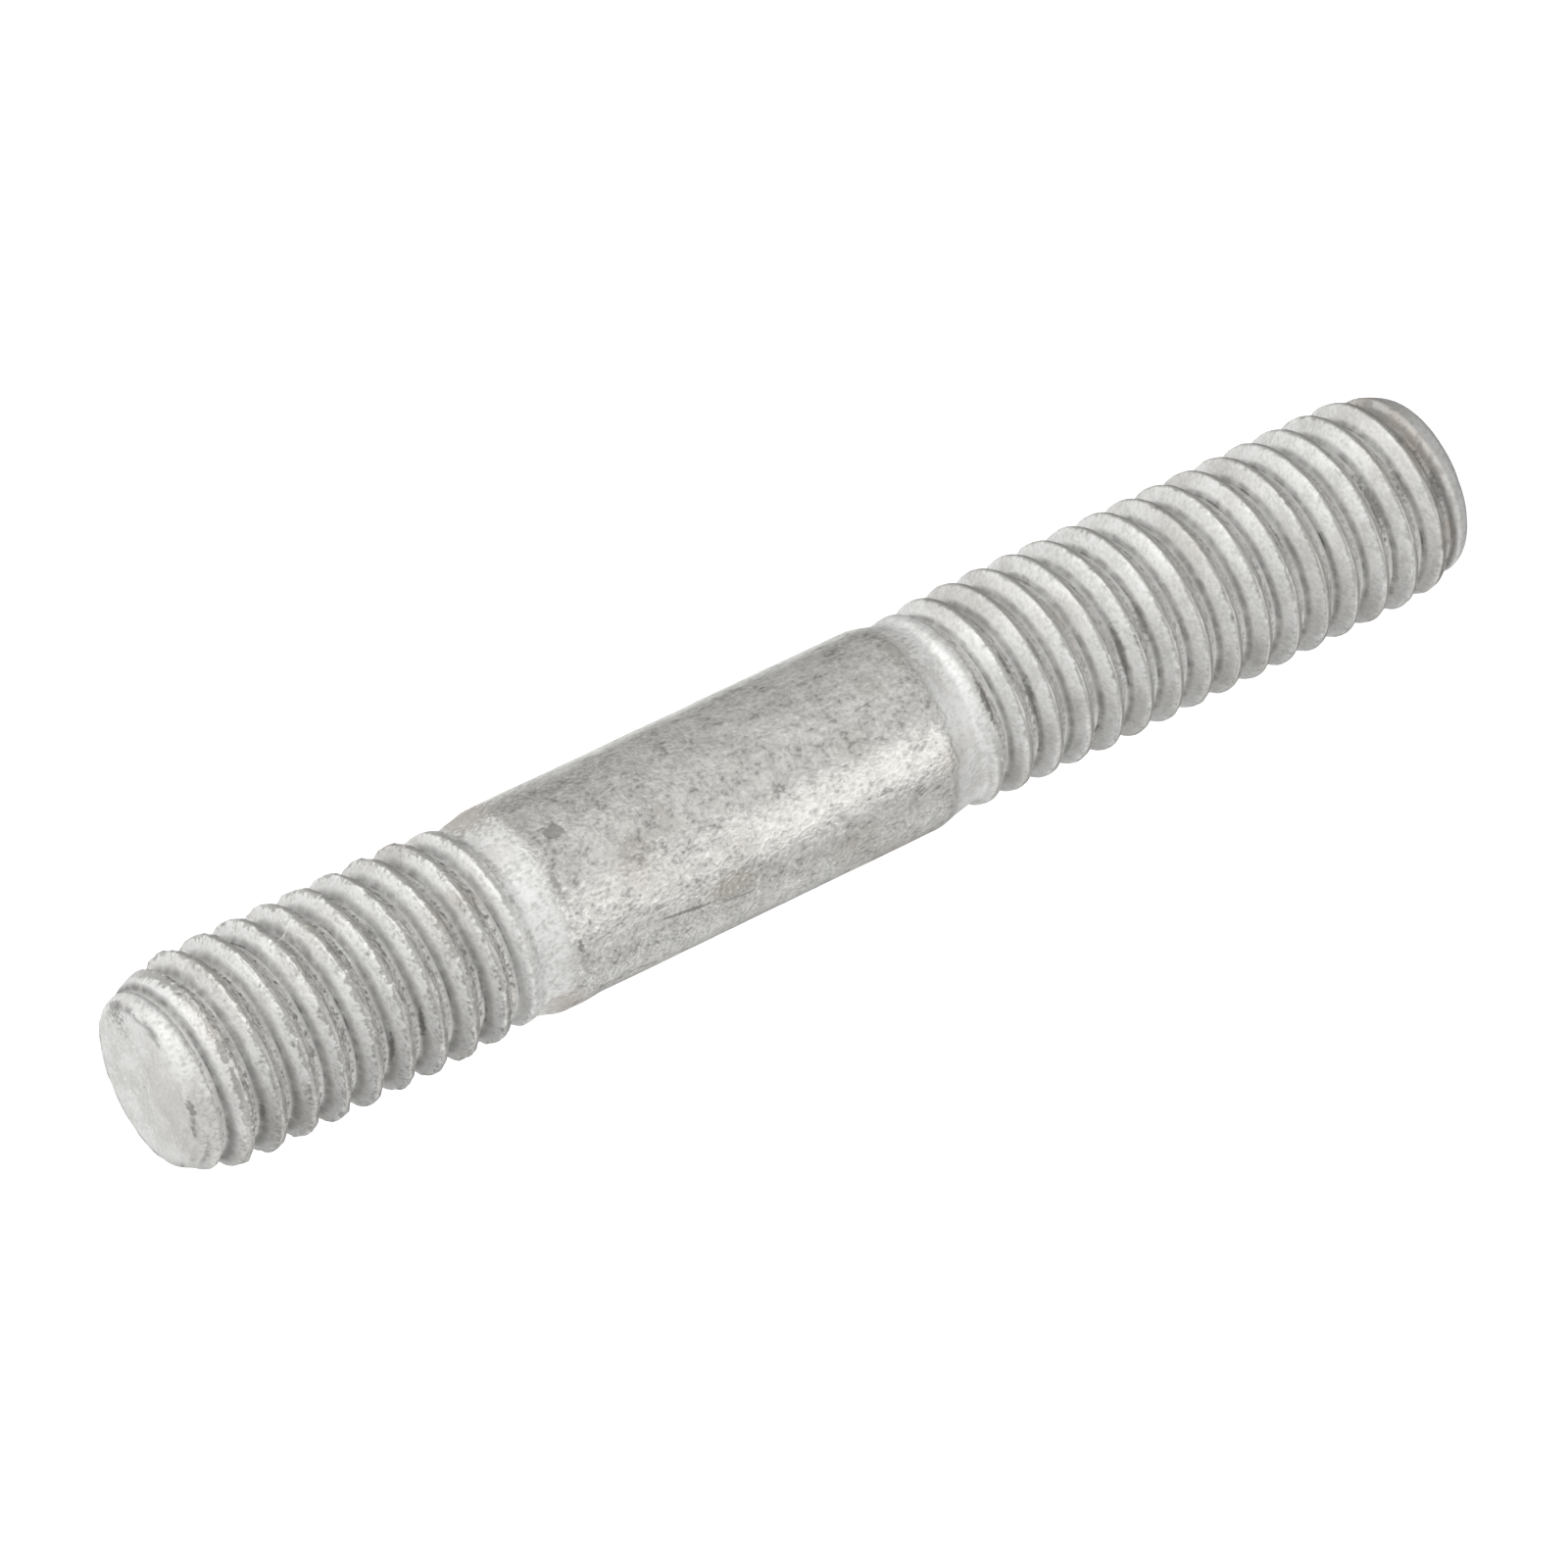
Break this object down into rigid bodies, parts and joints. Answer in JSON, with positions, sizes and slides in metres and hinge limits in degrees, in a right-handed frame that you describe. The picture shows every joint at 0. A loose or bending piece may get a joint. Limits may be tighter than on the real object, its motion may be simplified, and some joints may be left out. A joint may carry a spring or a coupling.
{
  "type": "double ended stud",
  "caption": "Plain-shank double ended stud with a coarse right-hand thread on each end, screwed into a tapped hole at one end and taking a nut at the other.",
  "frame": {"origin": "centre of the flat face at the free end of the long thread, on the stud's axis", "axes": "+Z along the stud's axis, from the long (nut) end to the short (tap) end"},
  "size_m": [0.006, 0.006, 0.0415],
  "materials": {
    "coated_steel": "matte silver-grey zinc-flake or dull galvanised coat on steel"
  },
  "bodies": {
    "root": {"stud": "coated_steel"}
  },
  "joints": []
}
